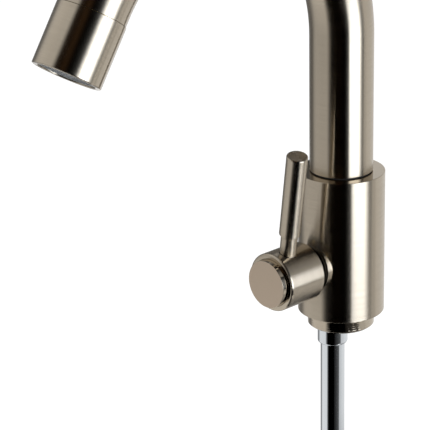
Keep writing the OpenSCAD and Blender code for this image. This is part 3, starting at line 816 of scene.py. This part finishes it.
class FILLER_OT_tip(bpy.types.Operator):
    """Make the tip sleeve with its rim"""

    bl_idname = "filler.tip"
    bl_label = "Tip sleeve"

    def execute(self, context):
        s = sizes()
        radius = half_width("tip_sleeve")
        top, end = s.run, s.run + s.tip_length
        mouth, inner = radius - s.tip_lip, radius - 1.75 * MM
        seam_edge, rim_edge, mouth_edge = 0.12 * MM, 0.5 * MM, 0.3 * MM
        sleeve = lathe("tip_sleeve_dressed", [
            (radius, top, seam_edge), (radius, end, rim_edge), (mouth, end, mouth_edge),
            (mouth, end - LIP_DEPTH), (inner, end - LIP_DEPTH), (inner, top),
        ], on_outlet())
        dress(sleeve, brushed_nickel(), "spout", "tip_sleeve")
        return {"FINISHED"}


class FILLER_OT_stream(bpy.types.Operator):
    """Make the grey cup and honeycomb in the mouth"""

    bl_idname = "filler.stream"
    bl_label = "Stream former"

    def execute(self, context):
        s = sizes()
        end = s.run + s.tip_length
        lip, face = end - LIP_DEPTH, end - s.mouth_depth
        wall, depth, recess = 1 * MM, 4 * MM, 0.3 * MM
        nose = half_width("tip_sleeve") - s.tip_lip - 2 * PLAY
        back = lip - depth
        outer_edge, inner_edge = 0.25 * MM, 0.2 * MM
        cup = lathe("stream_housing_dressed", [
            (nose - wall, back), (nose, back), (nose, face, outer_edge), (nose - wall, face, inner_edge),
        ], on_outlet())
        dress(cup, moulded_acetal(), "spout", "stream_housing")
        height = face - back - recess
        former = run_tree(honeycomb_tree(), "stream_former_dressed", {
            "Radius": nose - wall, "Pitch": s.cell_pitch, "Wall": s.cell_wall, "Height": height,
        }, moulded_acetal(), on_outlet() @ Matrix.Translation((0, 0, back + height / 2)))
        dress(former, moulded_acetal(), "spout", "stream_former")
        return {"FINISHED"}


class FILLER_OT_handle(bpy.types.Operator):
    """Make the round handle and its bare end cap"""

    bl_idname = "filler.handle"
    bl_label = "Handle"

    def execute(self, context):
        s = sizes()
        radius, inner = half_width("handle_sleeve"), half_width("handle_hub") + PLAY
        back, front = forward("handle_sleeve")
        groove_edge = 0.15 * MM
        sleeve = lathe("handle_sleeve_dressed", [
            (inner, back), (radius, back, s.edge), (radius, front, s.sleeve_edge),
            (inner, front, groove_edge),
        ], on_valve(), segments=256)
        hole, hole_low, hole_high = s.neck_width / 2 + 0.35 * MM, 6 * MM, 24 * MM
        cutter = lathe("cutter", [
            (0, hole_low), (hole, hole_low), (hole, hole_high), (0, hole_high),
        ], on_lever(), closed=False, segments=96)
        cut_round(sleeve, cutter)
        dress(sleeve, brushed_nickel(), "lever", "handle_sleeve")
        # Painted shade: the sleeve's back face, towards the groove, gets the dark nickel
        finish_or_shade_faces(sleeve, painted_shade_nickel(), lambda at, normal: normal.y > TOWARDS)
        finish_or_shade_faces(sleeve, polished_nickel(), lambda at, normal: normal.y < -FLAT)
        cap_radius, face = half_width("index_cap"), forward("index_cap")[1]
        cap_back, cap_edge = front - 2 * MM, 0.12 * MM
        cap = lathe("index_cap_dressed", [
            (0, cap_back), (cap_radius, cap_back), (cap_radius, front),
            (cap_radius - s.cap_taper, face, cap_edge), (0, face),
        ], on_valve(), closed=False)
        dress(cap, satin_nickel(), "lever", "index_cap")
        finish_or_shade_faces(cap, polished_nickel(), lambda at, normal: normal.y > -FLAT)
        return {"FINISHED"}


class FILLER_OT_lever(bpy.types.Operator):
    """Make the rod lever with its neck"""

    bl_idname = "filler.lever"
    bl_label = "Lever"

    def execute(self, context):
        s = sizes()
        thick, neck = s.lever_width / 2, s.neck_width / 2
        seat = half_width("handle_hub") - 0.8 * MM
        neck_fillet, step_edge, top_edge = 0.3 * MM, 0.12 * MM, 0.7 * MM
        rod = lathe("lever_rod_dressed", [
            (0, seat), (neck, seat), (neck, s.neck_top, neck_fillet),
            (thick, s.neck_top + thick - neck, step_edge), (thick, s.lever_top, top_edge),
            (0, s.lever_top),
        ], on_lever(), closed=False)
        dress(rod, brushed_nickel(), "lever", "lever_rod")
        return {"FINISHED"}


class FILLER_OT_tail(bpy.types.Operator):
    """Make the chromed inlet tail and its gland nut"""

    bl_idname = "filler.tail"
    bl_label = "Tail"

    def execute(self, context):
        s = sizes()
        radius = half_width("tail_pipe")
        low, high = heights("tail_pipe")
        nut, top, bottom = s.gland_width / 2, -s.spigot_depth, -s.spigot_depth - s.gland_height
        neck = radius - 0.2 * MM
        bore = neck - 0.8 * MM
        end_edge, nut_edge, nut_rim = 0.35 * MM, 1.3 * MM, 0.15 * MM
        pipe = lathe("tail_pipe_dressed", [
            (bore, low, DEBURRED), (radius, low, end_edge), (radius, bottom), (neck, bottom), (neck, high),
            (bore, high),
        ], on_tail())
        dress(pipe, polished_chrome(), "base", "tail_pipe")
        hole = neck + PLAY
        gland = lathe("tail_gland_nut_dressed", [
            (hole, bottom), (nut, bottom, nut_edge), (nut, top, nut_rim), (hole, top),
        ], on_tail())
        dress(gland, polished_chrome(), "base", "tail_gland_nut")
        return {"FINISHED"}


class FILLER_OT_rings(bpy.types.Operator):
    """Make the rings that show in the gaps, and the deck seal"""

    bl_idname = "filler.rings"
    bl_label = "Rings and seal"

    def execute(self, context):
        rim, outer = half_width("bonnet_gap_ring"), sizes().collar_width / 2
        inner, foot, front_edge = outer - 0.5 * MM, 0.4 * MM, 0.15 * MM
        back, front = forward("bonnet_gap_ring")
        gap = lathe("bonnet_gap_ring_dressed", [
            (inner, back), (rim, back), (rim, back + foot, DEBURRED), (outer, back + foot),
            (outer, front, front_edge), (inner, front),
        ], on_valve())
        # Painted shade: the ring down in the groove is dark nickel all over
        dress(gap, painted_shade_nickel(), "base", "bonnet_gap_ring")
        wide, thrust_edge = half_width("thrust_ring"), 0.2 * MM
        hole = wide - 4 * MM
        low, high = heights("thrust_ring")
        thrust = lathe("thrust_ring_dressed", [
            (hole, low), (wide, low), (wide, high, thrust_edge), (hole, high),
        ])
        dress(thrust, moulded_nylon(), "base", "thrust_ring")
        rim, rise, seal_edge = half_width("deck_seal"), heights("deck_seal")[1], 0.3 * MM
        hole = rim - 2.2 * MM
        seal = lathe("deck_seal_dressed", [
            (hole, 0, seal_edge), (rim, 0, seal_edge), (rim, rise), (hole, rise),
        ])
        dress(seal, sealing_rubber(), "base", "deck_seal")
        return {"FINISHED"}


class FILLER_OT_inner_parts(bpy.types.Operator):
    """Finish the pieces inside, whose shape is the frame's own"""

    bl_idname = "filler.inner_parts"
    bl_label = "Inner parts"

    def execute(self, context):
        finishes = {
            "brushed_nickel": satin_nickel,
            "dark_nylon": moulded_nylon,
            "grey_acetal": moulded_acetal,
            "polished_chrome": polished_chrome,
            "satin_nickel_cap": satin_nickel,
            "seal_rubber": sealing_rubber,
            "stainless_steel": stainless_steel,
            "turned_brass": turned_brass,
            "valve_ceramic": ground_ceramic,
        }
        for part in frame["record"]["subparts"]:
            piece = frame["nodes"][part["node"]]
            piece.data.materials.clear()
            piece.data.materials.append(finishes[part["material_slot"]]())
        return {"FINISHED"}


# Stage

CAMERA_PLACE = Vector((0.704207, -0.74792, 0.436888))
CAMERA_AZIMUTH = math.radians(46.889)
CAMERA_DROP = math.radians(20.564)
CAMERA_ROLL = math.radians(-1.083)
CAMERA_LENS = 178.66
CAMERA_SENSOR = 36.0
FLOOR_HEIGHT = -0.30
FLOOR_HALF = 4.0
# Where it is seen, the floor is this share of white glow, and the rest is paint that keeps the shadow
GLOW_SHARE, GLOW_STRENGTH = 0.85, 1.12
# Strength of the room's light on the object
ROOM_LIGHT = 0.55
WHITE = (1, 1, 1, 1)
CARD_LIFT = 0.002
# Widest step of a card, in degrees round the body's axis
CARD_STEP = 4
# Distance from the body's axis and height above the floor, on the ground and then up to the ceiling
CARD_GROUND = ((0.03, 0), (0.35, 0), (0.5, 0), (0.65, 0), (0.78, 0), (0.9, 0), (1.0, 0))
CARD_WALL = (
    (1.0, 0), (1.0, 0.15), (1.0, 0.35), (1.0, 0.55), (1.0, 0.7), (1.0, 0.85), (1.0, 1.6), (0.03, 1.6),
)
# Light at the azimuths where both cards at the left agree
FAR_LEFT = ((-112, 0.5), (-92, 0.25), (-80, 0.4), (-69, 0.95), (-58, 1.0))
# Each card: name, profile, light at azimuths in degrees, light along the profile, and any colour
CARDS = (
    (
        "ground_left", CARD_GROUND, (*FAR_LEFT, (-12, 0.95), (-2, 0.12), (4, 0.05)),
        (1.0, 1.0, 1.0, 0.97, 0.9, 0.7, 0.55),
    ),
    (
        "card_left", CARD_WALL, (*FAR_LEFT, (-30, 0.85), (-9, 0.85), (3, 0.12), (4, 0.1)),
        (0.55, 0.6, 0.65, 0.75, 0.85, 0.95, 1.0, 0.1),
    ),
    (
        "flag_front", CARD_WALL,
        ((4, 1.0), (8, 0.7), (20, 0.6), (28, 1.1), (35, 1.8), (41, 2.0), (45, 0.1), (62, 0.1)),
        (0, 0, 0.01, 0.02, 0.03, 0.1, 0.4, 0.4), "#6a5038",
    ),
    ("ground_front", CARD_GROUND, ((4, 1.0), (58, 1.0)), (0, 0, 0, 0, 0, 0, 0)),
    (
        "ground_right", ((0.4, 0), (0.46, 0), (0.5, 0), (0.65, 0), (0.72, 0)),
        ((58, 0.01), (81, 0.06), (105, 0.14), (110, 0.75), (124, 0.85), (149, 1.0), (223, 1.0)),
        (0.6, 0.8, 0.9, 0.95, 0.97),
    ),
    (
        "ground_far_right", ((0.72, 0), *CARD_GROUND[4:]),
        (
            (58, 0.01), (88, 0.1), (98, 0.7), (112, 1.0), (120, 0.85), (128, 0.35), (142, 0.35),
            (149, 1.0), (223, 1.0),
        ),
        (1.0, 1.0, 1.0, 1.0),
    ),
    (
        "ground_reflector", ((0.03, 0), (0.3, 0), (0.38, 0), (0.4, 0)),
        ((58, 0.02), (90, 0.05), (94, 1.0), (110, 1.0), (114, 0.2), (149, 0.18), (223, 0.18)),
        (0.2, 2.4, 2.4, 1.8),
    ),
    (
        "softbox_right", CARD_WALL,
        (
            (58, 0), (66, 0.03), (69, 0.1), (71, 0.6), (75, 0.85), (79, 1.0), (104, 1.0), (112, 0.5),
            (118, 0.08), (126, 0.03), (128, 0.06),
        ),
        (3.5, 8.0, 8.0, 7.0, 4.0, 0.6, 0.1, 0.1), "#ebf3ff",
    ),
    (
        "card_right", CARD_WALL, ((128, 0.85), (150, 0.93), (223, 0.95)),
        (0.95, 0.95, 0.95, 0.9, 0.9, 0.6, 0.08, 0.06),
    ),
    (
        "ground_back", CARD_GROUND, ((223, 1.0), (248, 1.0)),
        (0.3, 0.6, 0.8, 0.95, 1.0, 1.2, 1.3),
    ),
    (
        "flag_back", CARD_WALL, ((223, 0.9), (224, 0.1), (248, 0.2)),
        (1.3, 1.3, 1.2, 1.0, 1.0, 0.9, 0.8, 0.1),
    ),
)


def make_camera():
    """The camera at the photograph's viewing angle."""
    data = bpy.data.cameras.new("camera")
    data.lens, data.sensor_width = CAMERA_LENS, CAMERA_SENSOR
    data.clip_start, data.clip_end = 0.01, 20
    camera = add_object("camera", data)
    a, e, r = CAMERA_AZIMUTH, CAMERA_DROP, CAMERA_ROLL
    ahead = Vector((-math.sin(a) * math.cos(e), math.cos(a) * math.cos(e), -math.sin(e)))
    flat = Vector((math.cos(a), math.sin(a), 0))
    level = flat.cross(ahead)
    right = flat * math.cos(r) + level * math.sin(r)
    up = level * math.cos(r) - flat * math.sin(r)
    turn = Matrix((right, up, -ahead)).transposed().to_4x4()
    camera.matrix_world = Matrix.Translation(CAMERA_PLACE) @ turn
    bpy.context.scene.camera = camera


def card(name, profile, stops, levels, colour="#ffffff"):
    """A curved studio card round the object, seen only in reflections.

    The stops give its light at azimuths round the body's axis, and the levels along its profile.
    """
    first, last = math.ceil(stops[0][0]), math.ceil(stops[-1][0])
    turns = sorted({*(azimuth for azimuth, _ in stops), *range(first, last, CARD_STEP)})
    share = np.interp(turns, *zip(*stops))
    verts = [
        (d * math.sin(math.radians(a)), -d * math.cos(math.radians(a)), FLOOR_HEIGHT + CARD_LIFT + h)
        for a in turns for d, h in profile
    ]
    rows = len(profile)
    faces = [
        (rows * k + i, rows * k + i + 1, rows * k + rows + i + 1, rows * k + rows + i)
        for k in range(len(turns) - 1) for i in range(rows - 1)
    ]
    mesh = bpy.data.meshes.new(name)
    mesh.from_pydata(verts, [], faces)
    light = mesh.attributes.new("light", "FLOAT", "POINT")
    light.data.foreach_set("value", np.outer(share, levels).ravel())
    piece = add_object(name, mesh)
    material, tree = new_material(name)
    strength = add_node(tree, "ShaderNodeAttribute", attribute_name="light").outputs["Fac"]
    glow = add_node(tree, "ShaderNodeEmission", {"Color": opaque(linear(colour)), "Strength": strength})
    finish_material(tree, glow)
    mesh.materials.append(material)
    piece.visible_camera = piece.visible_diffuse = piece.visible_shadow = False


def lamp(name, place, size, power, target=Vector((0, -0.03, 0.08))):
    """A soft square lamp that faces the object."""
    data = bpy.data.lights.new(name, "AREA")
    data.shape, data.size, data.energy = "SQUARE", size, power
    light = add_object(name, data)
    facing = (place - target).to_track_quat("Z", "Y").to_matrix().to_4x4()
    light.matrix_world = Matrix.Translation(place) @ facing
    light.visible_glossy = False


def shown(tree):
    """1 where the camera, reflections and glass see the studio, and 0 for the light that it gives."""
    path = add_node(tree, "ShaderNodeLightPath").outputs
    seen = Value(path["Is Camera Ray"])
    for ray in ("Is Glossy Ray", "Is Transmission Ray"):
        seen = seen.step("MAXIMUM", path[ray])
    return seen


def make_world():
    """A white room, plain in the light that it gives and white where it is seen or reflected."""
    world = bpy.data.worlds.new("studio")
    bpy.context.scene.world = world
    world.use_nodes = True
    tree = world.node_tree
    tree.nodes.clear()
    strength = add_node(
        tree, "ShaderNodeMapRange", {"Value": shown(tree), "To Min": ROOM_LIGHT, "To Max": 1.0}
    )
    sky = add_node(tree, "ShaderNodeBackground", {"Color": WHITE, "Strength": strength.outputs[0]})
    add_node(tree, "ShaderNodeOutputWorld", {"Surface": sky.outputs[0]})


def make_floor():
    """A pale floor that shows white and keeps a faint shadow."""
    mesh = bpy.data.meshes.new("floor")
    corners = ((-1, -1), (1, -1), (1, 1), (-1, 1))
    verts = [(x * FLOOR_HALF, y * FLOOR_HALF, FLOOR_HEIGHT) for x, y in corners]
    mesh.from_pydata(verts, [], [(0, 1, 2, 3)])
    floor = add_object("floor", mesh)
    material, tree = new_material("pale_painted_floor")
    paint = add_node(tree, "ShaderNodeBsdfDiffuse", {"Color": opaque(colours().floor)})
    glow = add_node(tree, "ShaderNodeEmission", {"Color": WHITE, "Strength": GLOW_STRENGTH})
    share = shown(tree) * GLOW_SHARE
    mixed = add_node(tree, "ShaderNodeMixShader", {0: share, 1: paint.outputs[0], 2: glow.outputs[0]})
    finish_material(tree, mixed)
    mesh.materials.append(material)


class FILLER_OT_stage(bpy.types.Operator):
    """Set the camera, the pale floor, the studio cards and the lamps"""

    bl_idname = "filler.stage"
    bl_label = "Stage"

    def execute(self, context):
        make_camera()
        make_world()
        make_floor()
        for each in CARDS:
            card(*each)
        lamp("key", Vector((1.1, -0.5, 1.3)), size=0.8, power=22)
        lamp("fill", Vector((-1.2, -0.8, 0.9)), size=1.0, power=10)
        context.scene.view_settings.view_transform = "Standard"
        return {"FINISHED"}


class FILLER_PT_panel(bpy.types.Panel):
    """Buttons for each piece in the sidebar"""

    bl_idname = "FILLER_PT_panel"
    bl_label = "Bath filler"
    bl_space_type = "VIEW_3D"
    bl_region_type = "UI"
    bl_category = "Bath filler"

    def draw(self, context):
        for operator in OPERATORS:
            self.layout.operator(operator.bl_idname)
        for group in (context.scene.filler_sizes, context.scene.filler_colours):
            column = self.layout.column()
            for name in group.__annotations__:
                column.prop(group, name)


OPERATORS = (
    FILLER_OT_inner_parts, FILLER_OT_body, FILLER_OT_spigot, FILLER_OT_spout, FILLER_OT_tip,
    FILLER_OT_stream, FILLER_OT_handle, FILLER_OT_lever, FILLER_OT_tail, FILLER_OT_rings, FILLER_OT_stage,
)
CLASSES = (FillerSizes, FillerColours, *OPERATORS, FILLER_PT_panel)


def register():
    """Add the classes and the scene's settings."""
    for each in CLASSES:
        bpy.utils.register_class(each)
    bpy.types.Scene.filler_sizes = bpy.props.PointerProperty(type=FillerSizes)
    bpy.types.Scene.filler_colours = bpy.props.PointerProperty(type=FillerColours)


def unregister():
    """Take the classes and the scene's settings away."""
    del bpy.types.Scene.filler_colours
    del bpy.types.Scene.filler_sizes
    for each in reversed(CLASSES):
        bpy.utils.unregister_class(each)


def main():
    """Make every piece and the stage."""
    register()
    for operator in OPERATORS:
        group, name = operator.bl_idname.split(".")
        getattr(getattr(bpy.ops, group), name)()


if __name__ == "__main__":
    main()
